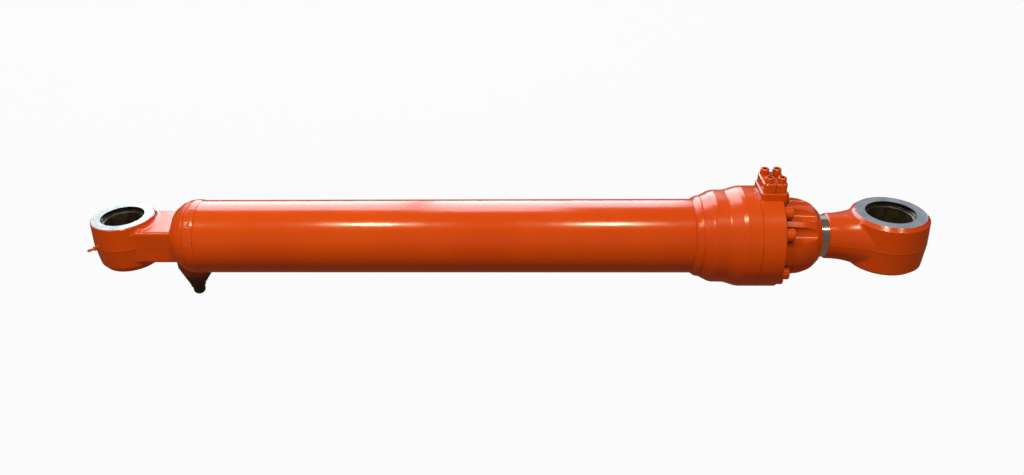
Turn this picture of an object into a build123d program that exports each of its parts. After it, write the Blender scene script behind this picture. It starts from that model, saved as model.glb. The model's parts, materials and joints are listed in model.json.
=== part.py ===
from build123d import *
import math
import os

# Double-acting hydraulic cylinder, drawn fully closed.
# Origin: centre of the base eye. +X runs along the cylinder to the rod eye, +Z is the axis of both pins.

# Driving dimensions, in millimetres
CLOSED_LENGTH = 1450.0
STROKE = 880.0
BORE_R = 57.5
TUBE_R = 70.0
ROD_R = 40.0

# Fits, as radial gaps
SLIDING_GAP = 0.05
LOCATING_GAP = 0.05
CLEARANCE_GAP = 0.5
SIDE_GAP = 0.1
EDGE = 1.0

# Base eye and its neck
BASE_PIN_R = 35.0
BASE_BORE_R = 40.0
BASE_FACE_R = 56.3
BASE_TOP_Z = 44.2
BASE_BOTTOM_Z = -50.0
BASE_BOTTOM_R = 50.0
BASE_BELLY = (57.0, -40.0)
BASE_BELLY_ROUND_R = 12.0
BASE_BEVEL = 1.6
BASE_BODY_R = 60.5
BASE_NECK_HALF_WIDTH = 47.4
BASE_NECK_HALF_HEIGHT = 33.0
BASE_NECK_BLEND_R = 25.0
BUSH_RECESS = 9.0
NECK_EDGE_R = 6.0
NECK_ROOT_R = 9.0
CAP_ROOT_R = 4.0
DRAFT = 2.6

# Base cap, tube and the welds at both tube ends
CAP_FACE_X = 105.0
CAP_FACE_R = 54.0
CAP_DOME = (119.0, 65.0)
CAP_SHOULDER = (130.0, TUBE_R)
CAP_RIM_X = 133.0
CAP_ROUNDS = (8.0, 40.0, 10.0)
BORE_END_X = 156.0
NUT_RECESS_R = 41.0
NUT_RECESS_X = 121.0
GALLERY_R = 8.0
WELD_ROOT_R = BORE_R + 0.1
BASE_WELD_ROOT = (141.5, 144.5)
BASE_WELD_END_X = 154.5
HEAD_WELD_X = (1083.0, 1098.0)
HEAD_WELD_ROOT = (1089.0, 1092.0)
HEAD_WELD_R = 76.5
BASE_WELD_CROWN = (143.7, TUBE_R + 1.6)
HEAD_WELD_CROWN = (1089.5, TUBE_R + 5)

# Base port
PORT_X = 116.5
PORT_MOUTH_Z = -111.0
PORT_FOOT_Z = -50.0
PORT_BOSS_R = 14.0
PORT_BOSS_EDGE = 1.0
PORT_BOSS_BARE = 4.0
PORT_FLARE_X = 126.0
PORT_FLARE_R = 38.0
PORT_FLARE_Z = -60.0
PORT_PLUG_R = 11.5
PORT_PLUG_TIP_Z = -129.5
PORT_PLUG_REACH = 14.0

# Tube flange and cylinder head
GLAND_X = 1128.0
JOINT_X = 1198.5
HEAD_FACE_X = 1240.0
NOSE_END_X = 1317.0
FLANGE_R = 95.0
NOSE_ROOT_R = 76.0
NOSE_END_R = 49.5
NOSE_SHOULDER = (1283.0, 71.0)
NOSE_BROW = (1303.0, 63.5)
NOSE_ROUNDS = (60.0, 28.0, 4.0)
FLANGE_FOOT = (1114.0, 85.0)
FLANGE_WAIST = ((1121.0, 87.0), (1144.0, 87.5))
FLANGE_RISE = (1165.0, 94.0)
FLANGE_RIM_X = 1172.0
FLANGE_ROUNDS = (10.0, 14.0, 14.0)
HEAD_BOLT_ANGLES = [a for a in range(0, 360, 30) if a % 180 != 0]
HEAD_BOLT_PITCH_R = 80.0
HEAD_BOLT_R = 8.0
HEAD_BOLT_HEAD_R = 12.0
HEAD_BOLT_HEAD_H = 16.0
HEAD_BOLT_LENGTH = 70.0
HEAD_BOLT_SOCKET = 14.0
HEAD_BOLT_TAP_DEPTH = 36.0
HEAD_BOLT_SEAT_H = 24.0
FLUTE_R = 15.5
FLUTE_TILT = 3.0

# Head port: boss, split flange clamps and blank, with four M10 screws
HEAD_PORT_X = 1223.5
HEAD_PORT_BORE_R = 8.0
BOSS_HALF_X = 24.0
BOSS_HALF_Y = 32.0
BOSS_TOP_Z = 103.0
BOSS_FOOT_Z = 76.0
BOSS_EDGE_R = 2.5
CLAMP_HALF_X = 21.5
CLAMP_HALF_Y = 28.5
CLAMP_TOP_Z = 121.0
CLAMP_EDGE = 2.0
PAD_CORNER_R = 7.0
CLAMP_SPLIT = 0.8
PORT_BOLT_X = 11.1
PORT_BOLT_Y = 19.0
PORT_SCREW_R = 5.0
PORT_SCREW_HEAD_R = 8.0
PORT_SCREW_HEAD_H = 10.0
PORT_SCREW_LENGTH = 34.0
PORT_SCREW_SOCKET = 8.0
PORT_SCREW_TAP_DEPTH = 22.0
BLANK_FLANGE_R = 15.1
BLANK_FLANGE_H = 6.8
BLANK_HUB_R = 12.0
BLANK_HUB_TOP_Z = CLAMP_TOP_Z - 2.5
BLANK_GAP = 0.25
PORT_RING_R = 12.1
PORT_RING_SECTION = (3.6, 2.7, 1.1)
PORT_GROOVE = (10.2, 14.0, 2.8)

# Seals and bush in the cylinder head, as start and end along X
CUSHION_BORE_X = 1168.0
CUSHION_BORE_R = 46.3
SNAP_RING_X = (1170.5, 1173.0)
GUIDE_BUSH_X = (1173.2, 1212.0)
GUIDE_BUSH_R = 43.0
BUFFER_SEAL_X = (1240.0, 1247.0)
ROD_SEAL_X = (1258.0, 1268.0)
ROD_SEAL_BACKUP_X = (1268.2, 1271.0)
WIPER_X = (1306.0, 1316.0)
ROD_SEAL_R = 47.5
HEAD_O_RING_X = (1180.0, 1185.6)
HEAD_BACKUP_X = (1185.8, 1188.4)
HEAD_SEAL_FLOOR_R = 52.6
DRILLING_PITCH_R = 49.8
DRILLING_R = 2.6
DRILLING_ANGLES = (-24, -12, 0, 12, 24)

# Piston and rod, closed
PISTON_X = (160.0, 236.0)
PISTON_R = 57.0
PISTON_BORE_R = 30.0
PISTON_SEAL_X = (190.0, 206.0)
PISTON_SEAL_FLOOR_R = 47.0
ENERGISER_R = 51.6
WEAR_RING_X = ((171.0, 184.0), (212.0, 225.0))
DIRT_RING_X = ((163.5, 167.5), (228.5, 232.5))
RING_FLOOR_R = 54.4
NUT_X = (127.0, 159.5)
NUT_ACROSS = 75.0
THREAD_R = 27.5
SET_SCREW_R = 4.0
LOCK_BALL_R = 3.6
CUSHION_X = (236.5, 274.0)
CUSHION_R = 45.8
CUSHION_SEAT_R = 38.0
ROD_END_X = 1336.0

# Rod eye
ROD_PIN_R = 40.0
ROD_BORE_R = 45.0
ROD_FACE_R = 63.1
ROD_EYE_HALF_WIDTH = 49.7
ROD_EYE_R = 72.5
ROD_NECK_R = 42.8
ROD_NECK_HALF_HEIGHT = 46.0
ROD_BLEND_R = 10.0
ROD_ROOT_R = 9.0
ROD_BEVEL = 6.5
ROD_WELD_START_X = 1333.0

# Grease nipple in the side of the base eye
NIPPLE_ANGLE = 228.0
NIPPLE_HEX = 8.0
NIPPLE_HOLE_R = 2.5
NIPPLE_SHANK = (-7.0, 1.0)
NIPPLE_HEX_H = 5.0
NIPPLE_TIP = ((0, 4), (3.2, 4), (2.4, 8), (2.4, 12), (3.0, 14), (1.6, 17.5), (0, 17.5))


def section(outline, rounds=()):
    """Face inside a closed outline; rounds lists (corner, radius) pairs to round off."""
    face = make_face(Polyline(*outline, close=True))
    for corner, radius in rounds:
        vertex = face.vertices().sort_by_distance(Vector(*corner, 0))[0]
        face = fillet(vertex, radius)
    return face


def turned(outline, rounds=()):
    """Solid of revolution about X from points (x, radius)."""
    return revolve(section(outline, rounds), Axis.X)


def spun(outline, rounds=()):
    """Solid of revolution about Z from points (radius, z)."""
    return revolve(Plane.XZ * section(outline, rounds), Axis.Z)


def ring(inner, outer, span, edge=0.0):
    """Plain ring about X, with its outer edges chamfered."""
    x0, x1 = span
    crown = [(x0, outer), (x1, outer)]
    if edge > 0:
        crown = [(x0, outer - edge), (x0 + edge, outer), (x1 - edge, outer), (x1, outer - edge)]
    return turned([(x0, inner)] + crown + [(x1, inner)])


def rod_x(radius, x0, x1):
    """Cylinder along X."""
    return Pos((x0 + x1) / 2, 0, 0) * Rot(0, 90, 0) * Cylinder(radius, x1 - x0)


def post(radius, x, y, z0, z1):
    """Cylinder along Z."""
    return Pos(x, y, (z0 + z1) / 2) * Cylinder(radius, z1 - z0)


def at_bolt(angle, pitch_r):
    """Place about X: the angle is measured from -Y towards +Z."""
    a = math.radians(angle)
    return Pos(0, -pitch_r * math.cos(a), pitch_r * math.sin(a))


def eye_bush(pin_r, bore_r, face_z):
    """Pressed steel bush, set back from the eye's face, with a lead-in at each end of its bore."""
    half = face_z - BUSH_RECESS
    upper = [(bore_r, half - EDGE), (bore_r - EDGE, half), (pin_r + EDGE, half), (pin_r, half - EDGE)]
    return spun(upper + [(r, -z) for r, z in reversed(upper)])


def plan_neck(half_width, body_r, blend_r, reach):
    """Plan outline of a neck of even width that runs into a round eye at the origin through concave arcs."""
    start_x = math.sqrt((body_r + blend_r) ** 2 - (half_width + blend_r) ** 2)
    share = body_r / (body_r + blend_r)
    touch = (start_x * share, (half_width + blend_r) * share)
    lean = math.atan2(start_x - touch[0], half_width + blend_r - touch[1]) / 2
    middle = (start_x - blend_r * math.sin(lean), half_width + blend_r - blend_r * math.cos(lean))
    upper = Polyline((0, 0), touch) + ThreePointArc(touch, middle, (start_x, half_width))
    upper += Polyline((start_x, half_width), (reach, half_width), (reach, 0))
    return make_face(upper + mirror(upper, about=Plane.XZ))


def is_level(edge, height):
    """True for an edge that lies at this height above or below the mid plane."""
    return abs(abs((edge @ 0.5).Z) - height) < 0.6


def cap_outline():
    """Base cap: domed shoulder, weld bevel and the spigot that locates the tube."""
    return [
        (CAP_FACE_X, 0),
        (CAP_FACE_X, CAP_FACE_R),
        CAP_DOME,
        CAP_SHOULDER,
        (CAP_RIM_X, TUBE_R),
        (BASE_WELD_ROOT[0], WELD_ROOT_R),
        (BASE_WELD_ROOT[0], BORE_R - LOCATING_GAP),
        (BORE_END_X, BORE_R - LOCATING_GAP),
        (BORE_END_X, 0),
    ]


def base_boss():
    """Base eye about Z: drafted above and below its parting line, with a rounded belly."""
    outline = [
        (0, BASE_TOP_Z),
        (BASE_FACE_R, BASE_TOP_Z),
        (BASE_BODY_R - DRAFT, BASE_TOP_Z - BASE_BEVEL),
        (BASE_BODY_R, 0),
        BASE_BELLY,
        (BASE_BOTTOM_R, BASE_BOTTOM_Z),
        (0, BASE_BOTTOM_Z),
    ]
    return spun(outline, [(BASE_BELLY, BASE_BELLY_ROUND_R)])


def make_base_eye():
    """Forged base: eye, square neck and cap in one piece, drilled for oil."""
    boss = base_boss()
    plan = plan_neck(BASE_NECK_HALF_WIDTH, BASE_BODY_R - DRAFT / 2, BASE_NECK_BLEND_R, PORT_X)
    neck = Pos(0, 0, -BASE_NECK_HALF_HEIGHT) * extrude(plan, 2 * BASE_NECK_HALF_HEIGHT)
    long_edges = [e for e in neck.edges().filter_by(Axis.X) if e.length > NECK_EDGE_R]
    neck = fillet(long_edges, NECK_EDGE_R)
    corners = ((CAP_FACE_X, CAP_FACE_R), CAP_DOME, CAP_SHOULDER)
    cap = turned(cap_outline(), zip(corners, CAP_ROUNDS))
    body = boss + neck
    roots = [e for e in body.edges() if is_level(e, BASE_NECK_HALF_HEIGHT) and 0 < (e @ 0.5).X < BASE_BODY_R]
    body = fillet([e for e in roots if abs((e @ 0.5).Y) < BASE_NECK_HALF_WIDTH - NECK_EDGE_R], NECK_ROOT_R)
    body += cap
    roots = [e for e in body.edges() if abs((e @ 0.5).X - CAP_FACE_X) < 1 and e.length > NECK_EDGE_R]
    body = fillet([e for e in roots if abs((e @ 0.5).Z) < BASE_NECK_HALF_HEIGHT + 1], CAP_ROOT_R)
    body -= post(BASE_BORE_R, 0, 0, BASE_BOTTOM_Z, BASE_TOP_Z)
    body -= rod_x(NUT_RECESS_R, NUT_RECESS_X, BORE_END_X)
    body -= rod_x(GALLERY_R, PORT_X, NUT_RECESS_X)
    body -= post(GALLERY_R, PORT_X, 0, -TUBE_R, 0)
    return body - nipple_place() * rod_x(NIPPLE_HOLE_R, BASE_BORE_R - 1, BASE_BODY_R + 5)


def nipple_place():
    """Turns X to the direction in which the grease nipple points."""
    return Rot(0, 0, NIPPLE_ANGLE)


def make_barrel_tube():
    """Honed tube, bevelled at both ends for its welds."""
    return turned([
        (BASE_WELD_ROOT[1], BORE_R),
        (BASE_WELD_ROOT[1], WELD_ROOT_R),
        (BASE_WELD_END_X, TUBE_R),
        (HEAD_WELD_X[0], TUBE_R),
        (HEAD_WELD_ROOT[0], WELD_ROOT_R),
        (HEAD_WELD_ROOT[0], BORE_R),
    ])


def weld_bead(root, start, end, crown):
    """Weld fill between two bevels, with a rounded crown through the given point."""
    sides = Polyline(start, (root[0], WELD_ROOT_R), (root[1], WELD_ROOT_R), end)
    return revolve(make_face(sides + ThreePointArc(start, crown, end)), Axis.X)


def make_head_flange():
    """Forged ring on the tube's end, tapped for the head bolts."""
    outline = [
        (HEAD_WELD_ROOT[1], BORE_R),
        (HEAD_WELD_ROOT[1], WELD_ROOT_R),
        (HEAD_WELD_X[1], HEAD_WELD_R),
        FLANGE_FOOT,
        FLANGE_WAIST[0],
        FLANGE_WAIST[1],
        FLANGE_RISE,
        (FLANGE_RIM_X, FLANGE_R),
        (JOINT_X - EDGE, FLANGE_R),
        (JOINT_X, FLANGE_R - EDGE),
        (JOINT_X, BORE_R),
    ]
    body = turned(outline, zip((FLANGE_FOOT, FLANGE_WAIST[1], FLANGE_RISE), FLANGE_ROUNDS))
    tapped = rod_x(HEAD_BOLT_R + SIDE_GAP, JOINT_X - HEAD_BOLT_TAP_DEPTH, JOINT_X)
    for angle in HEAD_BOLT_ANGLES:
        body -= at_bolt(angle, HEAD_BOLT_PITCH_R) * tapped
    return body


def nose_outline():
    """Cylinder head turned shape: locating spigot, flange and domed nose."""
    return [
        (GLAND_X, 0),
        (GLAND_X, BORE_R - 3),
        (GLAND_X + 3, BORE_R - LOCATING_GAP),
        (JOINT_X, BORE_R - LOCATING_GAP),
        (JOINT_X, FLANGE_R - EDGE),
        (JOINT_X + EDGE, FLANGE_R),
        (HEAD_FACE_X - 2, FLANGE_R),
        (HEAD_FACE_X, FLANGE_R - 2),
        (HEAD_FACE_X, NOSE_ROOT_R),
        NOSE_SHOULDER,
        NOSE_BROW,
        (NOSE_END_X, NOSE_END_R),
        (NOSE_END_X, 0),
    ]


def make_cylinder_head():
    """Bolted head: gland spigot, flange, fluted nose and the port boss."""
    corners = (NOSE_SHOULDER, NOSE_BROW, (NOSE_END_X, NOSE_END_R))
    body = turned(nose_outline(), zip(corners, NOSE_ROUNDS))
    reach = NOSE_END_X - HEAD_FACE_X
    flute = Pos(0, 0, HEAD_BOLT_PITCH_R) * Rot(0, 90 + FLUTE_TILT, 0) * Cylinder(FLUTE_R, 4 * reach)
    flute &= Box(2 * reach, 4 * FLUTE_R, 4 * HEAD_BOLT_PITCH_R, align=(Align.MIN, Align.CENTER, Align.CENTER))
    hole = rod_x(HEAD_BOLT_R + CLEARANCE_GAP, JOINT_X, HEAD_FACE_X)
    for angle in HEAD_BOLT_ANGLES:
        body -= Rot(90 - angle, 0, 0) * Pos(HEAD_FACE_X, 0, 0) * flute
    boss = port_pad(BOSS_HALF_X, BOSS_HALF_Y, BOSS_FOOT_Z, BOSS_TOP_Z)
    body += fillet(boss.faces().sort_by(Axis.Z)[-1].edges(), BOSS_EDGE_R)
    seat = rod_x(HEAD_BOLT_HEAD_R + EDGE, HEAD_FACE_X, HEAD_FACE_X + HEAD_BOLT_SEAT_H)
    for angle in HEAD_BOLT_ANGLES:
        body -= at_bolt(angle, HEAD_BOLT_PITCH_R) * (hole + seat)
    body -= rod_x(ROD_R + CLEARANCE_GAP, GLAND_X, NOSE_END_X)
    body -= rod_x(CUSHION_BORE_R, GLAND_X, CUSHION_BORE_X)
    body -= ring(ROD_R, GUIDE_BUSH_R, (CUSHION_BORE_X, GUIDE_BUSH_X[1]))
    body -= ring(ROD_R, GUIDE_BUSH_R + 1.5, SNAP_RING_X)
    for span in (BUFFER_SEAL_X, (ROD_SEAL_X[0], ROD_SEAL_BACKUP_X[1])):
        body -= ring(ROD_R, ROD_SEAL_R, (span[0] - SIDE_GAP, span[1] + SIDE_GAP))
    body -= ring(ROD_R, ROD_SEAL_R, (WIPER_X[0], NOSE_END_X - 4))
    body -= ring(ROD_R, ROD_SEAL_R - 1.5, (WIPER_X[0], NOSE_END_X))
    body -= ring(HEAD_SEAL_FLOOR_R, BORE_R, (HEAD_O_RING_X[0] - SIDE_GAP, HEAD_BACKUP_X[1] + SIDE_GAP))
    body -= post(HEAD_PORT_BORE_R, HEAD_PORT_X, 0, DRILLING_PITCH_R - DRILLING_R, BOSS_TOP_Z)
    drilling = rod_x(DRILLING_R, GLAND_X, HEAD_PORT_X)
    for angle in DRILLING_ANGLES:
        body -= at_bolt(90 + angle, DRILLING_PITCH_R) * drilling
    for x, y in port_bolt_places():
        body -= post(PORT_SCREW_R + SIDE_GAP, x, y, BOSS_TOP_Z - PORT_SCREW_TAP_DEPTH, BOSS_TOP_Z)
    return body


def port_pad(half_x, half_y, bottom_z, top_z):
    """Block with rounded corners under or round the head port."""
    block = Box(2 * half_x, 2 * half_y, top_z - bottom_z)
    block = fillet(block.edges().filter_by(Axis.Z), PAD_CORNER_R)
    return Pos(HEAD_PORT_X, 0, (bottom_z + top_z) / 2) * block


def port_bolt_places():
    """Centres of the four port screws."""
    return [(HEAD_PORT_X + i * PORT_BOLT_X, j * PORT_BOLT_Y) for i in (-1, 1) for j in (-1, 1)]


def socket_screw(shank_r, length, head_r, head_h, socket):
    """Socket head cap screw along +Z: the head's underside is at z = 0."""
    shank = Pos(0, 0, -length / 2) * Cylinder(shank_r, length)
    shank = chamfer(shank.edges().sort_by(Axis.Z)[0], 1)
    head = Pos(0, 0, head_h / 2) * Cylinder(head_r, head_h)
    head = chamfer(head.edges().sort_by(Axis.Z)[-1], 1.2)
    depth = head_h / 2
    hexagon = extrude(RegularPolygon(socket / 2, 6, major_radius=False), depth)
    return shank + head - Pos(0, 0, head_h - depth) * hexagon


def make_head_bolts():
    """Screws that hold the cylinder head to the tube flange."""
    sizes = (HEAD_BOLT_R, HEAD_BOLT_LENGTH, HEAD_BOLT_HEAD_R, HEAD_BOLT_HEAD_H, HEAD_BOLT_SOCKET)
    along = Pos(HEAD_FACE_X, 0, 0) * Rot(0, 90, 0) * socket_screw(*sizes)
    return Compound([at_bolt(angle, HEAD_BOLT_PITCH_R) * along for angle in HEAD_BOLT_ANGLES])


def make_port_clamps():
    """Both halves of the split flange, cut back round the blank's flange and hub."""
    block = port_pad(CLAMP_HALF_X, CLAMP_HALF_Y, BOSS_TOP_Z, CLAMP_TOP_Z)
    block = chamfer(block.faces().sort_by(Axis.Z)[-1].edges(), CLAMP_EDGE)
    block -= post(BLANK_FLANGE_R + BLANK_GAP, HEAD_PORT_X, 0, BOSS_TOP_Z, BOSS_TOP_Z + BLANK_FLANGE_H)
    block -= post(BLANK_HUB_R + BLANK_GAP, HEAD_PORT_X, 0, BOSS_TOP_Z, CLAMP_TOP_Z)
    for x, y in port_bolt_places():
        block -= post(PORT_SCREW_R + CLEARANCE_GAP, x, y, BOSS_TOP_Z, CLAMP_TOP_Z)
    halves = []
    for side in (-1, 1):
        keep = Box(2 * CLAMP_HALF_X, 4 * CLAMP_HALF_Y, 2 * CLAMP_TOP_Z)
        offset = side * (CLAMP_SPLIT / 2 + CLAMP_HALF_X)
        halves.append(block & Pos(HEAD_PORT_X + offset, 0, CLAMP_TOP_Z) * keep)
    return halves


def make_port_blank():
    """Flanged blank that closes the head port, with a groove for its O-ring."""
    outline = [
        (0, BOSS_TOP_Z),
        (BLANK_FLANGE_R, BOSS_TOP_Z),
        (BLANK_FLANGE_R, BOSS_TOP_Z + BLANK_FLANGE_H),
        (BLANK_HUB_R, BOSS_TOP_Z + BLANK_FLANGE_H),
        (BLANK_HUB_R, BLANK_HUB_TOP_Z - EDGE),
        (BLANK_HUB_R - EDGE, BLANK_HUB_TOP_Z),
        (0, BLANK_HUB_TOP_Z),
    ]
    inner, outer, depth = PORT_GROOVE
    groove = post(outer, 0, 0, BOSS_TOP_Z, BOSS_TOP_Z + depth)
    groove -= post(inner, 0, 0, BOSS_TOP_Z, BOSS_TOP_Z + depth)
    return Pos(HEAD_PORT_X, 0, 0) * (spun(outline) - groove)


def make_port_o_ring():
    """O-ring under the blank, squeezed to the depth of its groove."""
    lift = BOSS_TOP_Z + PORT_GROOVE[2] / 2
    squeezed = Plane.XZ * Pos(PORT_RING_R, lift) * RectangleRounded(*PORT_RING_SECTION)
    return Pos(HEAD_PORT_X, 0, 0) * revolve(squeezed, Axis.Z)


def make_port_screws():
    """Screws of the split flange."""
    sizes = (PORT_SCREW_R, PORT_SCREW_LENGTH, PORT_SCREW_HEAD_R, PORT_SCREW_HEAD_H, PORT_SCREW_SOCKET)
    screw = socket_screw(*sizes)
    return Compound([Pos(x, y, CLAMP_TOP_Z) * screw for x, y in port_bolt_places()])


def make_base_port(cap, weld):
    """Port boss under the base cap, and its flared foot that runs up to the neck."""
    boss = post(PORT_BOSS_R, PORT_X, 0, PORT_MOUTH_Z, PORT_FOOT_Z)
    boss = chamfer(boss.edges().sort_by(Axis.Z)[0], PORT_BOSS_EDGE)
    boss -= post(GALLERY_R, PORT_X, 0, PORT_MOUTH_Z, PORT_FOOT_Z)
    neck_end = Pos(PORT_X, 0, PORT_MOUTH_Z + PORT_BOSS_BARE) * Circle(PORT_BOSS_R)
    flare_end = Pos(PORT_FLARE_X, 0, PORT_FLARE_Z) * Circle(PORT_FLARE_R)
    foot = loft([neck_end, flare_end])
    foot += post(PORT_FLARE_R, PORT_FLARE_X, 0, PORT_FLARE_Z, -BASE_NECK_HALF_HEIGHT)
    foot -= post(PORT_BOSS_R, PORT_X, 0, PORT_MOUTH_Z, 0)
    barrel = rod_x(TUBE_R, CAP_RIM_X, PORT_FLARE_X + 2 * PORT_FLARE_R)
    for solid in (cap, weld, barrel):
        boss -= solid
        foot -= solid
    outside = foot.solids().sort_by(SortBy.VOLUME)[-1]
    return boss, outside


def make_base_port_plug():
    """Plastic plug in the mouth of the base port, with a domed cap."""
    corner = (PORT_PLUG_R, PORT_PLUG_TIP_Z)
    outline = [
        (0, PORT_PLUG_TIP_Z),
        corner,
        (PORT_PLUG_R, PORT_MOUTH_Z),
        (GALLERY_R - SIDE_GAP, PORT_MOUTH_Z),
        (GALLERY_R - EDGE, PORT_MOUTH_Z + PORT_PLUG_REACH),
        (0, PORT_MOUTH_Z + PORT_PLUG_REACH),
    ]
    return Pos(PORT_X, 0, 0) * spun(outline, [(corner, PORT_PLUG_R - 2 * EDGE)])


def make_grease_nipple():
    """Grease nipple, pointing out of the base eye."""
    shank = post(NIPPLE_HOLE_R - SIDE_GAP, 0, 0, *NIPPLE_SHANK)
    hexagon = extrude(RegularPolygon(NIPPLE_HEX / 2, 6, major_radius=False), NIPPLE_HEX_H)
    nipple = shank + Pos(0, 0, SIDE_GAP) * hexagon + spun(NIPPLE_TIP)
    return nipple_place() * Pos(BASE_BODY_R, 0, 0) * Rot(0, 90, 0) * nipple


def make_piston():
    """Steel piston with grooves for its seal, wear rings and dirt rings."""
    body = ring(PISTON_BORE_R, PISTON_R, PISTON_X, 2)
    grooves = [(PISTON_SEAL_FLOOR_R, PISTON_SEAL_X)]
    grooves += [(RING_FLOOR_R, span) for span in WEAR_RING_X + DIRT_RING_X]
    for floor_r, span in grooves:
        body -= ring(floor_r, PISTON_R + EDGE, (span[0] - SIDE_GAP, span[1] + SIDE_GAP))
    return body


def split_ring(inner, outer, span, gap):
    """Ring with a gap cut through it, so that it can be sprung into its groove."""
    x0, x1 = span
    cut = Pos((x0 + x1) / 2, 0, outer) * Box(2 * (x1 - x0), gap, outer)
    return ring(inner, outer, span, 0.3) - cut


def make_piston_rod():
    """Chromed rod, stepped down for the cushion ring, the piston and the nut's thread."""
    return turned([
        (NUT_X[0] - 3, 0),
        (NUT_X[0] - 3, THREAD_R - 2),
        (NUT_X[0] - 1, THREAD_R),
        (NUT_X[1], THREAD_R),
        (NUT_X[1], PISTON_BORE_R - LOCATING_GAP),
        (PISTON_X[1] + 0.2, PISTON_BORE_R - LOCATING_GAP),
        (PISTON_X[1] + 0.2, CUSHION_SEAT_R),
        (CUSHION_X[1] + 0.5, CUSHION_SEAT_R),
        (CUSHION_X[1] + 0.5, ROD_R - EDGE),
        (CUSHION_X[1] + 3, ROD_R),
        (ROD_END_X, ROD_R),
        (ROD_END_X, 0),
    ])


def make_piston_nut():
    """Hexagon nut that holds the piston, with a hole for its locking screw and ball."""
    x0, x1 = NUT_X
    hexagon = extrude(RegularPolygon(NUT_ACROSS / 2, 6, major_radius=False), x1 - x0)
    nut = Pos(x0, 0, 0) * Rot(0, 90, 0) * hexagon
    nut &= ring(0.5, NUT_RECESS_R - CLEARANCE_GAP, NUT_X, 3)
    nut -= rod_x(THREAD_R + LOCATING_GAP, x0, x1)
    middle = (x0 + x1) / 2
    return nut - post(SET_SCREW_R, middle, 0, THREAD_R, NUT_RECESS_R)


def make_nut_lock():
    """Ball that bites the thread, and the set screw that drives it."""
    middle = (NUT_X[0] + NUT_X[1]) / 2
    ball = Pos(middle, 0, THREAD_R + LOCK_BALL_R) * Sphere(LOCK_BALL_R)
    foot = THREAD_R + 2 * LOCK_BALL_R + SIDE_GAP
    screw = post(SET_SCREW_R - LOCATING_GAP, middle, 0, foot, NUT_ACROSS / 2 - 0.3)
    socket = extrude(RegularPolygon(1.5, 6, major_radius=False), 2)
    return ball, screw - Pos(middle, 0, NUT_ACROSS / 2 - 2) * socket


def rod_boss():
    """Rod eye about Z: drafted above and below its parting line, bevelled to the machined faces."""
    half = [(0, ROD_EYE_HALF_WIDTH), (ROD_FACE_R, ROD_EYE_HALF_WIDTH)]
    half.append((ROD_EYE_R - DRAFT, ROD_EYE_HALF_WIDTH - ROD_BEVEL))
    return spun(half + [(ROD_EYE_R, 0)] + [(r, -z) for r, z in reversed(half)])


def flared_neck():
    """Round neck that widens into the rod eye, cut level above and below, and the X where they meet."""
    start = ROD_END_X - CLOSED_LENGTH
    blend = (start**2 - (ROD_EYE_R**2 - ROD_NECK_R**2)) / (2 * (ROD_EYE_R - ROD_NECK_R))
    share = ROD_EYE_R / (ROD_EYE_R + blend)
    touch = (start * share, (ROD_NECK_R + blend) * share)
    lean = math.atan2(touch[0] - start, ROD_NECK_R + blend - touch[1]) / 2
    middle = (start + blend * math.sin(lean), ROD_NECK_R + blend - blend * math.cos(lean))
    sides = Polyline(touch, (touch[0], 0), (start, 0), (start, ROD_NECK_R))
    neck = revolve(make_face(ThreePointArc((start, ROD_NECK_R), middle, touch) + sides), Axis.X)
    neck &= Box(4 * ROD_EYE_R, 4 * ROD_EYE_R, 2 * ROD_NECK_HALF_HEIGHT)
    flats = [e for e in neck.edges() if is_level(e, ROD_NECK_HALF_HEIGHT) and e.geom_type != GeomType.LINE]
    return fillet(flats, ROD_BLEND_R), touch[0]


def make_rod_eye():
    """Forged rod eye with a round neck that flares into it."""
    neck, touch_x = flared_neck()
    body = rod_boss() + neck
    roots = [e for e in body.edges() if -ROD_EYE_R - ROD_BLEND_R < (e @ 0.5).X < touch_x - 1]
    roots = [e for e in roots if ROD_BLEND_R < abs((e @ 0.5).Z) < ROD_NECK_HALF_HEIGHT + 1]
    body = fillet([e for e in roots if e.geom_type in (GeomType.BSPLINE, GeomType.CIRCLE)], ROD_ROOT_R)
    body -= post(ROD_BORE_R, 0, 0, -ROD_EYE_HALF_WIDTH, ROD_EYE_HALF_WIDTH)
    return Pos(CLOSED_LENGTH, 0, 0) * body


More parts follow.
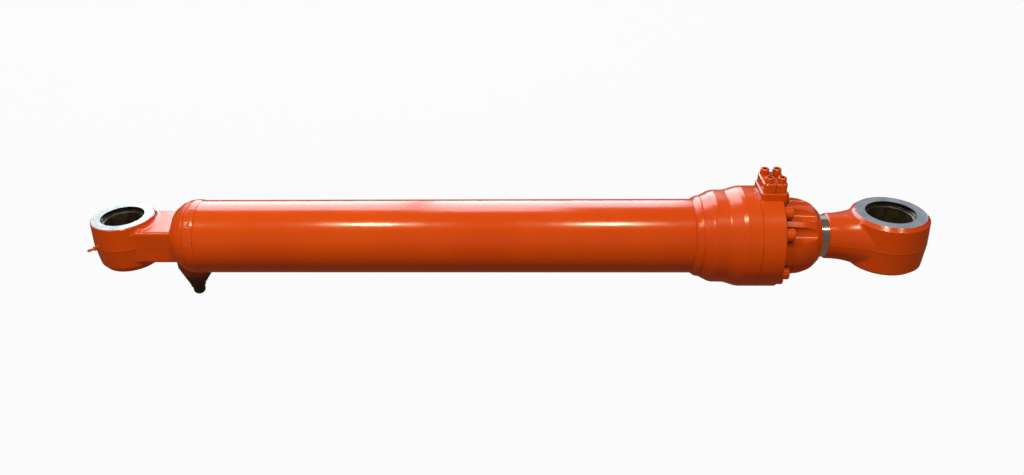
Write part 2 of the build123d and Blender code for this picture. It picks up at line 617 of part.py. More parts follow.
def make_parts():
    """Every node's name and solid."""
    cap = make_base_eye()
    tube = make_barrel_tube()
    base_start, base_end = (CAP_RIM_X, TUBE_R), (BASE_WELD_END_X, TUBE_R)
    base_weld = weld_bead(BASE_WELD_ROOT, base_start, base_end, BASE_WELD_CROWN)
    head_start, head_end = (HEAD_WELD_X[0], TUBE_R), (HEAD_WELD_X[1], HEAD_WELD_R)
    flange_weld = weld_bead(HEAD_WELD_ROOT, head_start, head_end, HEAD_WELD_CROWN)
    boss, foot = make_base_port(cap, base_weld)
    clamp_left, clamp_right = make_port_clamps()
    ball, set_screw = make_nut_lock()
    rod_bore = ROD_R + SLIDING_GAP
    ring_r = BORE_R - SLIDING_GAP
    wear_inner = RING_FLOOR_R + SIDE_GAP
    rod_bush = eye_bush(ROD_PIN_R, ROD_BORE_R, ROD_EYE_HALF_WIDTH)
    parts = {
        "base_eye": cap,
        "base_bush": eye_bush(BASE_PIN_R, BASE_BORE_R, BASE_TOP_Z),
        "base_grease_nipple": make_grease_nipple(),
        "base_port_boss": boss,
        "base_port_foot": foot,
        "base_port_plug": make_base_port_plug(),
        "barrel_tube": tube,
        "base_weld": base_weld,
        "flange_weld": flange_weld,
        "head_flange": make_head_flange(),
        "cylinder_head": make_cylinder_head(),
        "head_bolts": make_head_bolts(),
        "head_o_ring": turned(o_ring_outline(HEAD_O_RING_X), o_ring_rounds(HEAD_O_RING_X)),
        "head_backup_ring": ring(HEAD_SEAL_FLOOR_R + SIDE_GAP, BORE_R - SIDE_GAP, HEAD_BACKUP_X),
        "rod_guide_bush": ring(rod_bore, GUIDE_BUSH_R, GUIDE_BUSH_X, 0.5),
        "bush_snap_ring": split_ring(ROD_R + 1.2, GUIDE_BUSH_R + 1.4, SNAP_RING_X, 12),
        "buffer_seal": ring(rod_bore, ROD_SEAL_R - SIDE_GAP, BUFFER_SEAL_X, 0.4),
        "rod_seal": lip_seal(rod_bore, ROD_SEAL_R - SIDE_GAP, ROD_SEAL_X),
        "rod_seal_backup": ring(rod_bore, ROD_SEAL_R - SIDE_GAP, ROD_SEAL_BACKUP_X),
        "wiper_seal": make_wiper(rod_bore),
        "port_clamp_left": clamp_left,
        "port_clamp_right": clamp_right,
        "port_blank": make_port_blank(),
        "port_o_ring": make_port_o_ring(),
        "port_screws": make_port_screws(),
        "piston_seal": ring(ENERGISER_R + SIDE_GAP, ring_r, PISTON_SEAL_X, 0.5),
        "piston_seal_energiser": ring(PISTON_SEAL_FLOOR_R + SIDE_GAP, ENERGISER_R, PISTON_SEAL_X, 1.2),
        "piston_wear_rings": Compound([split_ring(wear_inner, ring_r, span, 4) for span in WEAR_RING_X]),
        "piston_dirt_rings": Compound([split_ring(wear_inner, ring_r, span, 2) for span in DIRT_RING_X]),
        "piston_rod": make_piston_rod(),
        "piston": make_piston(),
        "piston_nut": make_piston_nut(),
        "nut_lock_ball": ball,
        "nut_set_screw": set_screw,
        "cushion_ring": ring(CUSHION_SEAT_R + 0.2, CUSHION_R, CUSHION_X, 2),
        "rod_eye": make_rod_eye(),
        "rod_eye_weld": rod_weld(),
        "rod_bush": Pos(CLOSED_LENGTH, 0, 0) * rod_bush,
    }
    return parts


def o_ring_outline(span):
    """Squeezed O-ring between its groove's floor and the bore."""
    x0, x1 = span
    inner, outer = HEAD_SEAL_FLOOR_R + SIDE_GAP, BORE_R - SIDE_GAP
    return [(x0, inner), (x0, outer), (x1, outer), (x1, inner)]


def o_ring_rounds(span):
    """All four corners of the squeezed O-ring, rounded."""
    return [(corner, 2.0) for corner in o_ring_outline(span)]


def lip_seal(inner, outer, span):
    """U-shaped rod seal: its two lips face the oil."""
    x0, x1 = span
    middle = (inner + outer) / 2
    return turned([
        (x0, inner),
        (x0, middle - 1.6),
        (x0 + 5, middle),
        (x0, middle + 1.6),
        (x0, outer),
        (x1, outer),
        (x1, inner),
    ])


def make_wiper(inner):
    """Wiper seal: a body held behind the nose's lip, and a lip that leans on the rod."""
    x0, x1 = WIPER_X
    return turned([
        (x0 + 0.2, inner + 2),
        (x0 + 0.2, ROD_SEAL_R - 0.2),
        (NOSE_END_X - 4.2, ROD_SEAL_R - 0.2),
        (NOSE_END_X - 4.2, ROD_SEAL_R - 2),
        (x1, ROD_SEAL_R - 3),
        (x1 + 0.8, inner + 0.6),
        (x1 - 0.5, inner),
        (x1 - 4, inner + 2),
    ])


def rod_weld():
    """Bead over the joint of the rod and its eye."""
    start, end = (ROD_WELD_START_X, ROD_R), (ROD_END_X, ROD_NECK_R)
    sides = Polyline(end, (ROD_END_X, ROD_R), start)
    arc = ThreePointArc(start, (ROD_END_X - 1.9, ROD_NECK_R - 0.6), end)
    return revolve(make_face(sides + arc), Axis.X)


os.makedirs("parts", exist_ok=True)
for name, solid in make_parts().items():
    export_step(solid, "parts/" + name + ".step")
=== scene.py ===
import json
import math
import random

import bmesh
import bpy
from mathutils import Matrix, Vector


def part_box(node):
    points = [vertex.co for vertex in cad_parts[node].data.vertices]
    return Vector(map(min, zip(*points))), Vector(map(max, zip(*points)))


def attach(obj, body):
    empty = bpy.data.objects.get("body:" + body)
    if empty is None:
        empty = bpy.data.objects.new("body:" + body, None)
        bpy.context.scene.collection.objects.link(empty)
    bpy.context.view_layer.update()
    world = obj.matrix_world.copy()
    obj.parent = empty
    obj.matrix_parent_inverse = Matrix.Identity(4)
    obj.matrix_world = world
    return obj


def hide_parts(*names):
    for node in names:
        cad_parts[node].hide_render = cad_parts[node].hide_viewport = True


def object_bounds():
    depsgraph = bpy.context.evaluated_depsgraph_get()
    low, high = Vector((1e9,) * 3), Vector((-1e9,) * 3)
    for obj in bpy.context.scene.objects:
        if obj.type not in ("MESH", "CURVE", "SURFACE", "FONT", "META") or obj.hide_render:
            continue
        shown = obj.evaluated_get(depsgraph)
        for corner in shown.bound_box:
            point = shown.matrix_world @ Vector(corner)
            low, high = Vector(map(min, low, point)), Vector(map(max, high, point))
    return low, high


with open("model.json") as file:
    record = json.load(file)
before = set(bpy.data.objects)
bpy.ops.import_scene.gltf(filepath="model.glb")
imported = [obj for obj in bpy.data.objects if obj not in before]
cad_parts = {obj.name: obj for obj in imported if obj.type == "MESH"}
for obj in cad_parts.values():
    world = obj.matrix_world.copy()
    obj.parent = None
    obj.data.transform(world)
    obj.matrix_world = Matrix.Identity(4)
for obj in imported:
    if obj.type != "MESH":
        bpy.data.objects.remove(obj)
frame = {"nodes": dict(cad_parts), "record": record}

# Looks of a closed hydraulic cylinder. Everything is in metres, in the CAD frame:
# the origin is the base eye's centre, +X runs to the rod eye and +Z is the pins' axis.

cad_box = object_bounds()
random.seed(7)
MOUNTS = {mount["name"]: mount for mount in frame["record"]["mounts"]}

# Camera
CAMERA_PLACE = Vector((0.79604, -1.38140, 0.77446))
CAMERA_YAW = math.radians(-2.0911)
CAMERA_PITCH = math.radians(29.3753)
CAMERA_ROLL = math.radians(-1.0795)
CAMERA_LENS_MM = 29.126
CAMERA_REACH = 40.0
SENSOR_MM = 36.0

# Radii of the machined rings and bores of both eyes
BASE_RING_R = 0.0563
BASE_LOWER_RING_R = 0.0500
BASE_BORE_R = 0.0400
ROD_RING_R = 0.0631
ROD_BORE_R = 0.0450

# Weld beads as in the CAD: radii at their ends, depth of the roots below the tube's surface,
# and the X where each root starts and ends
ROD_R = 0.0400
ROD_WELD_END_R = 0.0428
FLANGE_WELD_END_R = 0.0765
TUBE_WELD_DEPTH = 0.0124
BASE_WELD_ROOT = (0.1415, 0.1445)
FLANGE_WELD_ROOT = (1.0890, 1.0920)
ROD_WELD_ROOT = (1.3340, 1.3358)

# Ripples on the beads: how far each sweeps back at the edges, in ripples, and how much it lifts
RIPPLE_SWEEP = 0.9
RIPPLE_LIFT = 0.00018
RIPPLE_MIDDLE = 0.6
UNEVEN_SHARE = 0.35
UNEVEN_LIFT = 0.0002
BEAD_COLUMNS = 14


# --- materials ---------------------------------------------------------------


class Surface:
    """A material being made: one Principled shader and the nodes that feed it."""

    def __init__(self, name):
        self.material = bpy.data.materials.new(name)
        self.material.use_nodes = True
        self.tree = self.material.node_tree
        self.shader = self.tree.nodes["Principled BSDF"]
        self.place = self.node("ShaderNodeTexCoord").outputs["Object"]
        axes = self.node("ShaderNodeSeparateXYZ", {"Vector": self.place})
        self.x, self.y, self.z = axes.outputs

    def node(self, kind, inputs=(), **settings):
        """New node with its settings and inputs; an input is a value or another node's output."""
        made = self.tree.nodes.new(kind)
        for key, value in settings.items():
            setattr(made, key, value)
        for key, value in dict(inputs).items():
            self.feed(made.inputs[key], value)
        return made

    def feed(self, socket, value):
        """Sets or links a socket."""
        if isinstance(value, bpy.types.NodeSocket):
            self.tree.links.new(value, socket)
        else:
            socket.default_value = value

    def math(self, operation, *values):
        """Result of a Math node."""
        return self.node("ShaderNodeMath", enumerate(values), operation=operation).outputs[0]

    def noise(self, scale, detail=2.0, vector=None):
        """Noise from 0 to 1, with this many features to the metre."""
        inputs = {"Vector": vector or self.place, "Scale": scale, "Detail": detail}
        return self.node("ShaderNodeTexNoise", inputs).outputs["Fac"]

    def fade(self, value, start, end, low=0.0, high=1.0):
        """Value mapped from start..end to low..high, and held there beyond."""
        inputs = {"Value": value, "From Min": start, "From Max": end, "To Min": low, "To Max": high}
        return self.node("ShaderNodeMapRange", inputs).outputs["Result"]

    def blend(self, factor, first, second):
        """Blend of two colours."""
        inputs = {0: factor, 6: first, 7: second}
        return self.node("ShaderNodeMix", inputs, data_type="RGBA").outputs[2]

    def mix(self, factor, first, second):
        """Blend of two numbers."""
        inputs = {0: factor, 2: first, 3: second}
        return self.node("ShaderNodeMix", inputs, data_type="FLOAT").outputs[0]

    def stretched(self, x, y, z):
        """Object place with each axis scaled."""
        inputs = {0: self.place, 1: (x, y, z)}
        return self.node("ShaderNodeVectorMath", inputs, operation="MULTIPLY").outputs[0]

    def radius(self, centre_x):
        """Distance from a pin's axis."""
        offset = self.math("SUBTRACT", self.x, centre_x)
        squares = [self.math("MULTIPLY", side, side) for side in (offset, self.y)]
        return self.math("SQRT", self.math("ADD", *squares))

    def relief(self, height):
        """Bumps from a height in metres."""
        bump = self.node("ShaderNodeBump", {"Height": height, "Distance": 1.0, "Strength": 1.0})
        self.feed(self.shader.inputs["Normal"], bump.outputs["Normal"])

    def set(self, **inputs):
        """Feeds the shader's sockets; an underscore in a name stands for a space."""
        for key, value in inputs.items():
            self.feed(self.shader.inputs[key.replace("_", " ")], value)


def colour(red, green, blue):
    """Colour from linear parts."""
    return (red, green, blue, 1.0)


ORANGE = colour(0.66, 0.076, 0.002)
ORANGE_DEEP = colour(0.62, 0.064, 0.002)
# Deep brown used as painted shade, in crevices and under the barrel
ORANGE_PAINTED_SHADE = colour(0.030, 0.005, 0.003)
GLOSS_TUBE = (0.15, 0.20)
GLOSS_FORGED = (0.19, 0.27)
GLOSS_UNDER_BARREL = (0.40, 0.55)
# Painted shade in crevices: reach of the occlusion test, and the span of it over which the paint
# darkens
CREVICE_SHADE_WIDTH = 0.02
CREVICE_SHADE_SPAN = (0.15, 0.70)
# Painted shade under the barrel: heights where it starts and where it is full, and waver of its edge
PAINTED_SHADE_HEIGHTS = (-0.055, -0.090)
PAINTED_SHADE_WAVER = 0.006
PAINT_IOR = 1.42
PEEL_DEPTH = 0.000012
STEEL_PALE = colour(0.45, 0.46, 0.47)
STEEL_DARK = colour(0.33, 0.34, 0.35)
STEEL_ROUGH = (0.15, 0.25)

# Eyes: waver of the paint's edge, slack of the bare areas, turning marks and forging line
EDGE_WAVER = 0.0016
FACE_SLACK = 0.0004
BORE_SLACK = 0.0003
MARKS_PER_METRE = 900.0
MARK_DEPTH = 0.000008
FLASH_HALF_WIDTH = 0.0022
FLASH_HEIGHT = 0.00035

CHROME_CLEAN = colour(0.72, 0.72, 0.73)
CHROME_OILED = colour(0.58, 0.57, 0.55)
CHROME_ROUGH = (0.09, 0.17)
GRIND_DEPTH = 0.000003

# Spans of noise values that a fade stretches: most of the range, or its middle
WIDE = (0.3, 0.7)
NARROW = (0.35, 0.65)
FINE_TO_BROAD = 14.0


def paint_layers(surface, lumps, sag, gloss):
    """Colour, roughness and height of gloss enamel over forged or drawn steel; the colour holds
    painted shade in crevices.
    """
    tone = surface.fade(surface.noise(7.0, 4.0), *NARROW)
    paint = surface.blend(tone, ORANGE_DEEP, ORANGE)
    # Painted shade: ambient occlusion darkens the paint towards deep brown in crevices, recesses and
    # round the screw heads
    crevice_shade = surface.node("ShaderNodeAmbientOcclusion", {"Distance": CREVICE_SHADE_WIDTH}, samples=6)
    unshaded = surface.fade(crevice_shade.outputs["AO"], *CREVICE_SHADE_SPAN)
    paint = surface.blend(unshaded, ORANGE_PAINTED_SHADE, paint)
    rough = surface.fade(surface.noise(55.0, 3.0), *WIDE, *gloss)
    peel = surface.math("MULTIPLY", surface.noise(420.0, 1.0), PEEL_DEPTH)
    swell = surface.math("MULTIPLY", surface.noise(26.0, 3.0), lumps)
    along = surface.stretched(5.0, 16.0, 16.0)
    run = surface.math("MULTIPLY", surface.noise(1.0, 2.0, along), sag)
    height = surface.math("ADD", surface.math("ADD", peel, swell), run)
    return paint, rough, height


def paint_material(name, lumps, sag, gloss, shade_heights=None):
    """Painted piece with no bare metal. The last argument, if given, is the pair of heights over which
    painted shade darkens it towards the bottom.
    """
    surface = Surface(name)
    paint, rough, height = paint_layers(surface, lumps, sag, gloss)
    if shade_heights:
        # Painted shade: the colour darkens towards the bottom, over a wavering edge
        patchy = surface.fade(surface.noise(45.0, 4.0), *WIDE, -PAINTED_SHADE_WAVER, PAINTED_SHADE_WAVER)
        shade_mask = surface.fade(surface.math("ADD", surface.z, patchy), *shade_heights, 0.45, 1.0)
        paint = surface.blend(shade_mask, paint, ORANGE_PAINTED_SHADE)
    surface.set(Base_Color=paint, Roughness=rough, IOR=PAINT_IOR)
    surface.relief(height)
    return surface.material


def eye_material(name, centre_x, bore_r, upper, lower):
    """Painted eye with rings and bore of bare machined steel. Upper and lower are (Z, ring radius)."""
    surface = Surface(name)
    paint, rough, height = paint_layers(surface, lumps=0.00018, sag=0.00005, gloss=GLOSS_FORGED)
    radius = surface.radius(centre_x)
    ragged = surface.math("MULTIPLY_ADD", surface.noise(160.0, 3.0), EDGE_WAVER, radius)
    edge = surface.math("SUBTRACT", ragged, EDGE_WAVER / 2)
    above = surface.math("GREATER_THAN", surface.z, upper[0] - FACE_SLACK)
    below = surface.math("LESS_THAN", surface.z, lower[0] + FACE_SLACK)
    top_ring = surface.math("MULTIPLY", above, surface.math("LESS_THAN", edge, upper[1]))
    low_ring = surface.math("MULTIPLY", below, surface.math("LESS_THAN", edge, lower[1]))
    bore = surface.math("LESS_THAN", radius, bore_r + BORE_SLACK)
    bare = surface.math("MAXIMUM", surface.math("MAXIMUM", top_ring, low_ring), bore)
    grooves = surface.math("MULTIPLY", radius, MARKS_PER_METRE)
    turned = surface.node("ShaderNodeCombineXYZ", {"X": grooves}).outputs[0]
    marks = surface.noise(1.0, 3.0, turned)
    stains = surface.fade(surface.noise(38.0, 4.0), 0.42, 0.66)
    steel = surface.blend(stains, STEEL_PALE, STEEL_DARK)
    steel_rough = surface.fade(marks, *WIDE, *STEEL_ROUGH)
    middle = surface.math("ABSOLUTE", surface.z)
    flash = surface.fade(middle, 0.0, FLASH_HALF_WIDTH, FLASH_HEIGHT, 0.0)
    painted_height = surface.math("ADD", height, flash)
    turned_height = surface.math("MULTIPLY", marks, MARK_DEPTH)
    surface.set(
        Base_Color=surface.blend(bare, paint, steel),
        Metallic=bare,
        Roughness=surface.mix(bare, rough, steel_rough),
        IOR=PAINT_IOR,
    )
    surface.relief(surface.mix(bare, painted_height, turned_height))
    return surface.material


def chrome_material():
    """Hard chrome, ground round the rod before plating, with a faint film of oil."""
    surface = Surface("hard_chrome")
    grind = surface.noise(1.0, 3.0, surface.stretched(1400.0, 3.0, 3.0))
    film = surface.fade(surface.noise(22.0, 3.0), 0.35, 0.7)
    surface.set(
        Base_Color=surface.blend(film, CHROME_CLEAN, CHROME_OILED),
        Metallic=1.0,
        Roughness=surface.fade(grind, *WIDE, *CHROME_ROUGH),
    )
    surface.relief(surface.math("MULTIPLY", grind, GRIND_DEPTH))
    return surface.material


def worn_material(name, light, dark, metallic, rough, scale, depth):
    """Machined, moulded or greasy surface: two tones, uneven gloss and fine relief."""
    surface = Surface(name)
    broad = surface.fade(surface.noise(scale, 4.0), *NARROW)
    fine = surface.noise(scale * FINE_TO_BROAD, 2.0)
    surface.set(
        Base_Color=surface.blend(broad, light, dark),
        Metallic=metallic,
        Roughness=surface.fade(fine, *WIDE, *rough),
    )
    surface.relief(surface.math("MULTIPLY", surface.math("ADD", fine, broad), depth))
    return surface.material


# --- weld beads --------------------------------------------------------------


def weld_ring(name, node, profile, ripples, ripple_steps):
    """Rippled bead in place of a smooth CAD ring. The profile lists (x, radius, share of the lift)."""
    mesh = bpy.data.meshes.new(name)
    build = bmesh.new()
    loops = []
    wander = [random.uniform(-1.0, 1.0) for _ in range(ripples)]
    turn_steps = ripples * ripple_steps
    # The last two points are the root's corners, so the arc ends at the third from last
    start_x, end_x = profile[0][0], profile[-3][0]
    centre = (start_x + end_x) / 2
    half = abs(end_x - start_x) / 2
    for step in range(turn_steps):
        angle = 2 * math.pi * step / turn_steps
        turn = step / turn_steps * ripples
        loop = []
        for x, radius, share in profile:
            swept = turn + RIPPLE_SWEEP * ((x - centre) / half) ** 2
            scallop = abs(math.sin(math.pi * swept))
            uneven = UNEVEN_SHARE * wander[int(swept) % ripples]
            lift = share * (RIPPLE_LIFT * (scallop - RIPPLE_MIDDLE) + UNEVEN_LIFT * uneven)
            reach = radius + lift
            loop.append(build.verts.new((x, -reach * math.cos(angle), reach * math.sin(angle))))
        loops.append(loop)
    size = len(profile)
    for index, loop in enumerate(loops):
        after = loops[(index + 1) % turn_steps]
        for side in range(size):
            other = (side + 1) % size
            build.faces.new((loop[side], loop[other], after[other], after[side]))
    bmesh.ops.recalc_face_normals(build, faces=build.faces)
    build.to_mesh(mesh)
    build.free()
    mesh.polygons.foreach_set("use_smooth", [True] * len(mesh.polygons))
    piece = bpy.data.objects.new(name, mesh)
    bpy.context.collection.objects.link(piece)
    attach(piece, BODY_OF[node])
    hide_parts(node)
    return piece


def bead_profile(start, end, crown, root, root_r):
    """Section of a bead: a crowned arc from start to end, then the two corners of its root."""
    points = []
    for column in range(BEAD_COLUMNS + 1):
        share = column / BEAD_COLUMNS
        bow = 4 * share * (1 - share)
        x = start[0] + (end[0] - start[0]) * share
        radius = start[1] + (end[1] - start[1]) * share + crown * bow
        points.append((x, radius, bow))
    return points + [(root[1], root_r, 0.0), (root[0], root_r, 0.0)]


# --- build -------------------------------------------------------------------

BODY_OF = {}
for body_name, nodes in frame["record"]["behaviour"]["bodies"].items():
    for node_name in nodes:
        BODY_OF[node_name] = body_name

tube_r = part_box("barrel_tube")[1].z
tube_weld_root_r = tube_r - TUBE_WELD_DEPTH

paint_tube = paint_material("gloss_enamel_tube", lumps=0.00001, sag=0.00006, gloss=GLOSS_TUBE)
paint_forged = paint_material("gloss_enamel_forged", lumps=0.00014, sag=0.00005, gloss=GLOSS_FORGED)
paint_weld = paint_material("gloss_enamel_weld", lumps=0.0003, sag=0.0, gloss=GLOSS_FORGED)
paint_screw = paint_material("gloss_enamel_screw", lumps=0.00008, sag=0.0, gloss=GLOSS_FORGED)
# Port boss and foot: painted shade darkens them towards the bottom
paint_shaded_port = paint_material(
    "enamel_under_grime", lumps=0.0003, sag=0.0001, gloss=GLOSS_UNDER_BARREL, shade_heights=PAINTED_SHADE_HEIGHTS
)
base_up = MOUNTS["base_eye_side_up"]["pos_m"][2]
base_down = MOUNTS["base_eye_side_down"]["pos_m"][2]
rod_up = MOUNTS["rod_eye_side_up"]["pos_m"][2]
rod_x = MOUNTS["rod_pin"]["pos_m"][0]
base_eye_paint = eye_material(
    "enamel_and_steel_base",
    centre_x=0.0,
    bore_r=BASE_BORE_R,
    upper=(base_up, BASE_RING_R),
    lower=(base_down, BASE_LOWER_RING_R),
)
rod_eye_paint = eye_material(
    "enamel_and_steel_rod",
    centre_x=rod_x,
    bore_r=ROD_BORE_R,
    upper=(rod_up, ROD_RING_R),
    lower=(-rod_up, ROD_RING_R),
)

# Slot: material name, light tone, dark tone, metallic, roughness, noise scale and relief depth
WORN_LOOKS = {
    "bush_steel": (
        "greasy_bush", colour(0.085, 0.070, 0.050), colour(0.030, 0.024, 0.017),
        0.55, (0.30, 0.55), 60.0, 0.00006,
    ),
    "bare_steel": (
        "turned_steel", colour(0.56, 0.56, 0.57), colour(0.40, 0.40, 0.41),
        1.0, (0.22, 0.38), 40.0, 0.00001,
    ),
    "bronze": (
        "bronze", colour(0.62, 0.40, 0.17), colour(0.45, 0.27, 0.10),
        1.0, (0.28, 0.45), 50.0, 0.00001,
    ),
    "black_rubber": (
        "nitrile", colour(0.022, 0.022, 0.022), colour(0.012, 0.012, 0.012),
        0.0, (0.45, 0.65), 80.0, 0.00003,
    ),
    "seal_plastic": (
        "polyurethane", colour(0.10, 0.20, 0.32), colour(0.06, 0.13, 0.22),
        0.0, (0.35, 0.5), 70.0, 0.00002,
    ),
    "ring_plastic": (
        "phenolic_cloth", colour(0.34, 0.22, 0.11), colour(0.22, 0.13, 0.06),
        0.0, (0.4, 0.6), 90.0, 0.00004,
    ),
    "black_plastic": (
        "moulded_plug", colour(0.018, 0.017, 0.016), colour(0.010, 0.009, 0.009),
        0.0, (0.25, 0.45), 60.0, 0.00004,
    ),
}

BY_SLOT = {slot: worn_material(*look) for slot, look in WORN_LOOKS.items()}
BY_SLOT["orange_paint"] = paint_forged
BY_SLOT["chrome"] = chrome_material()
BY_NODE = {
    "base_eye": base_eye_paint,
    "rod_eye": rod_eye_paint,
    "barrel_tube": paint_tube,
    "head_bolts": paint_screw,
    "port_screws": paint_screw,
    "base_grease_nipple": paint_screw,
    "base_port_boss": paint_shaded_port,
    "base_port_foot": paint_shaded_port,
}
for subpart in frame["record"]["subparts"]:
    node_name = subpart["node"]
    chosen = BY_NODE.get(node_name, BY_SLOT[subpart["material_slot"]])
    mesh = frame["nodes"][node_name].data
    mesh.materials.clear()
    mesh.materials.append(chosen)

# Bead, CAD ring, its radii at start and end, crown, root along X, root radius, ripples, steps in each
WELDS = (
    ("base_weld_bead", "base_weld", tube_r, tube_r, 0.0016, BASE_WELD_ROOT, tube_weld_root_r, 66, 8),
    (
        "flange_weld_bead", "flange_weld", tube_r, FLANGE_WELD_END_R, 0.0019,
        FLANGE_WELD_ROOT, tube_weld_root_r, 64, 8,
    ),
    ("rod_weld_bead", "rod_eye_weld", ROD_R, ROD_WELD_END_R, 0.0003, ROD_WELD_ROOT, ROD_R, 60, 6),
)
for name, node, start_r, end_r, crown, root, root_r, ripples, ripple_steps in WELDS:
    low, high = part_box(node)
    section = bead_profile((low.x, start_r), (high.x, end_r), crown, root, root_r)
    bead = weld_ring(name, node, section, ripples, ripple_steps)
    bead.data.materials.append(paint_weld)

# --- stage -------------------------------------------------------------------

FLOOR_GAP = 0.0015
FLOOR_Z = cad_box[0][2] - FLOOR_GAP
FLOOR_CENTRE = Vector((0.7, 0.0, 0.0))
# Distance from the centre and height of each ring of the floor
FLOOR_PROFILE = ((4.0, 0.0), (5.0, 0.15), (5.7, 0.7), (6.1, 1.7), (6.3, 5.0))
FLOOR_TURNS = 96
FLOOR_DARK = colour(0.050, 0.050, 0.050)
FLOOR_LIGHT = colour(0.058, 0.058, 0.058)
FLOOR_GLOW = 0.965

# Room: colours straight below and above, and height share and colour of the stops between them
ROOM_BELOW = colour(0.16, 0.095, 0.065)
ROOM_ABOVE = colour(0.20, 0.135, 0.10)
ROOM_STOPS = ((0.44, colour(0.17, 0.105, 0.05)), (0.52, colour(0.13, 0.095, 0.08)))

# Panes that only gloss reflects: name, place, width, height and power
PANES = (
    ("shine_near", (-0.67, 2.50, 1.83), 1.46, 3.1, 112.0),
    ("shine_middle", (0.53, 2.35, 1.95), 0.74, 3.5, 72.0),
    ("shine_right", (1.275, 2.75, 1.65), 0.75, 2.5, 42.0),
    ("shine_left", (-2.15, 2.35, 1.95), 1.35, 3.5, 24.0),
)
PANE_TINT = (0.84, 0.95, 1.0)

# Row of small lamps: X of each highlight on the tube, and power
LAMPS = ((0.048, 6.0), (0.486, 11.0), (0.924, 11.5), (1.362, 3.5))
LAMP_DISTANCE = 1.7
LAMP_ANGLE = math.radians(43.0)
LAMP_SIZE = 0.14
LAMP_TINT = (1.0, 0.91, 0.60)


def make_floor():
    """Pale floor that curves up all round. Only the camera sees it, so it lights nothing."""
    mesh = bpy.data.meshes.new("floor")
    build = bmesh.new()
    rows = []
    for reach, rise in FLOOR_PROFILE:
        row = []
        for turn in range(FLOOR_TURNS):
            angle = 2 * math.pi * turn / FLOOR_TURNS
            offset = Vector((reach * math.cos(angle), reach * math.sin(angle), FLOOR_Z + rise))
            row.append(build.verts.new(FLOOR_CENTRE + offset))
        rows.append(row)
    build.faces.new(rows[0])
    for lower, upper in zip(rows, rows[1:]):
        for turn in range(FLOOR_TURNS):
            after = (turn + 1) % FLOOR_TURNS
            build.faces.new((lower[turn], lower[after], upper[after], upper[turn]))
    build.to_mesh(mesh)
    build.free()
    mesh.polygons.foreach_set("use_smooth", [True] * len(mesh.polygons))
    floor = bpy.data.objects.new("floor", mesh)
    bpy.context.collection.objects.link(floor)
    surface = Surface("pale_floor")
    grain = surface.fade(surface.noise(3.0, 3.0), *WIDE)
    surface.set(
        Base_Color=surface.blend(grain, FLOOR_DARK, FLOOR_LIGHT),
        Roughness=0.9,
        Emission_Color=colour(1.0, 1.0, 1.0),
        Emission_Strength=FLOOR_GLOW,
    )
    surface.shader.inputs["Specular IOR Level"].default_value = 0.0
    mesh.materials.append(surface.material)
    floor.visible_diffuse = False
    floor.visible_glossy = False
    floor.visible_transmission = False
    floor.visible_shadow = False


def soft_light(name, place, target, width, height, power, tint):
    """Rectangular soft light turned to a target."""
    light = bpy.data.lights.new(name, "AREA")
    light.shape = "RECTANGLE"
    light.size = width
    light.size_y = height
    light.energy = power
    light.color = tint
    lamp = bpy.data.objects.new(name, light)
    lamp.location = place
    lamp.rotation_euler = (Vector(target) - Vector(place)).to_track_quat("-Z", "Y").to_euler()
    bpy.context.collection.objects.link(lamp)
    return lamp


def make_world():
    """Dim warm room round the object, a little brighter overhead."""
    world = bpy.data.worlds.new("room")
    world.use_nodes = True
    tree = world.node_tree
    place = tree.nodes.new("ShaderNodeTexCoord")
    split = tree.nodes.new("ShaderNodeSeparateXYZ")
    ramp = tree.nodes.new("ShaderNodeValToRGB")
    shift = tree.nodes.new("ShaderNodeMapRange")
    shift.inputs["From Min"].default_value = -1.0
    tree.links.new(place.outputs["Generated"], split.inputs[0])
    tree.links.new(split.outputs["Z"], shift.inputs["Value"])
    tree.links.new(shift.outputs[0], ramp.inputs[0])
    stops = ramp.color_ramp.elements
    stops[0].position = 0.0
    stops[0].color = ROOM_BELOW
    stops[1].position = 1.0
    stops[1].color = ROOM_ABOVE
    for position, tint in ROOM_STOPS:
        stops.new(position).color = tint
    background = tree.nodes["Background"]
    tree.links.new(ramp.outputs[0], background.inputs["Color"])
    bpy.context.scene.world = world


def lamp_over(highlight_x):
    """Place of a lamp that the camera sees reflected at this X on the tube, and that spot."""
    normal = Vector((0.0, -math.sin(LAMP_ANGLE), math.cos(LAMP_ANGLE)))
    spot = Vector((highlight_x, 0.0, 0.0)) + tube_r * normal
    seen = (CAMERA_PLACE - spot).normalized()
    away = 2 * seen.dot(normal) * normal - seen
    return spot + LAMP_DISTANCE * away, spot


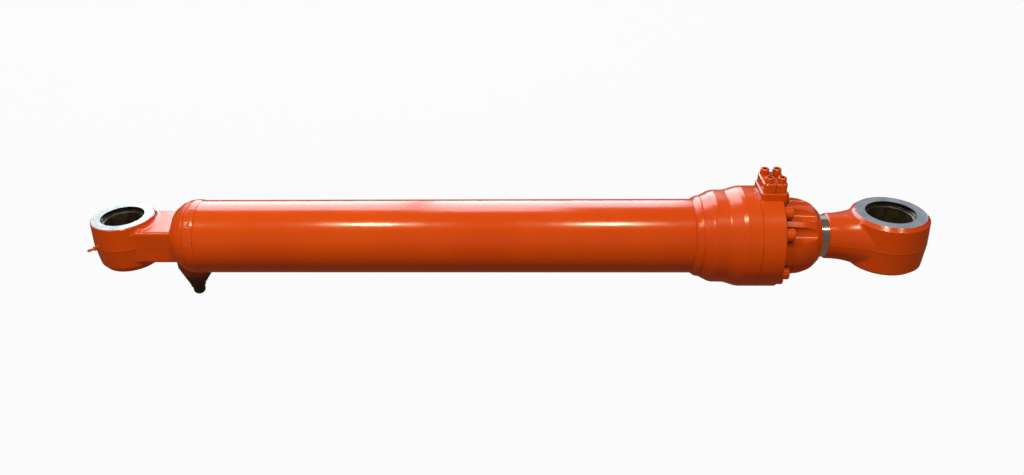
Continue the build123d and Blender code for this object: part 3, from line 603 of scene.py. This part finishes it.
make_floor()
make_world()
window = soft_light(
    "window",
    place=(-0.35, 2.62, 1.85),
    target=(-0.35, 0.0, 0.0),
    width=4.4,
    height=2.9,
    power=66.0,
    tint=(1.0, 0.93, 0.93),
)
window.visible_glossy = False
for name, place, width, height, power in PANES:
    pane = soft_light(name, place, (place[0], 0.0, 0.0), width, height, power, PANE_TINT)
    pane.visible_diffuse = False
far_shine = soft_light(
    "far_shine",
    place=(3.0, 2.5, 1.6),
    target=(1.4, 0.0, 0.0),
    width=2.0,
    height=2.4,
    power=9.2,
    tint=(0.70, 0.84, 1.0),
)
far_shine.visible_diffuse = False
fill = soft_light(
    "fill",
    place=(0.3, -2.6, 0.75),
    target=(0.4, 0.0, 0.0),
    width=3.4,
    height=1.2,
    power=11.5,
    tint=(1.0, 0.94, 0.88),
)
fill.visible_glossy = False
for number, (highlight_x, power) in enumerate(LAMPS):
    lamp_place, lamp_target = lamp_over(highlight_x)
    soft_light("lamp_%d" % number, lamp_place, lamp_target, LAMP_SIZE, LAMP_SIZE, power, LAMP_TINT)

# --- camera ------------------------------------------------------------------

forward = Vector((
    math.sin(CAMERA_YAW) * math.cos(CAMERA_PITCH),
    math.cos(CAMERA_YAW) * math.cos(CAMERA_PITCH),
    -math.sin(CAMERA_PITCH),
))
level = Vector((math.cos(CAMERA_YAW), -math.sin(CAMERA_YAW), 0.0))
up = level.cross(forward)
rolled = math.cos(CAMERA_ROLL) * level + math.sin(CAMERA_ROLL) * up
upright = math.cos(CAMERA_ROLL) * up - math.sin(CAMERA_ROLL) * level
lens = bpy.data.cameras.new("camera")
lens.sensor_width = SENSOR_MM
lens.lens = CAMERA_LENS_MM
lens.clip_end = CAMERA_REACH
camera = bpy.data.objects.new("camera", lens)
turn = Matrix((rolled, upright, -forward)).transposed().to_4x4()
camera.matrix_world = Matrix.Translation(CAMERA_PLACE) @ turn
bpy.context.collection.objects.link(camera)
bpy.context.scene.camera = camera
bpy.context.scene.view_settings.view_transform = "Standard"
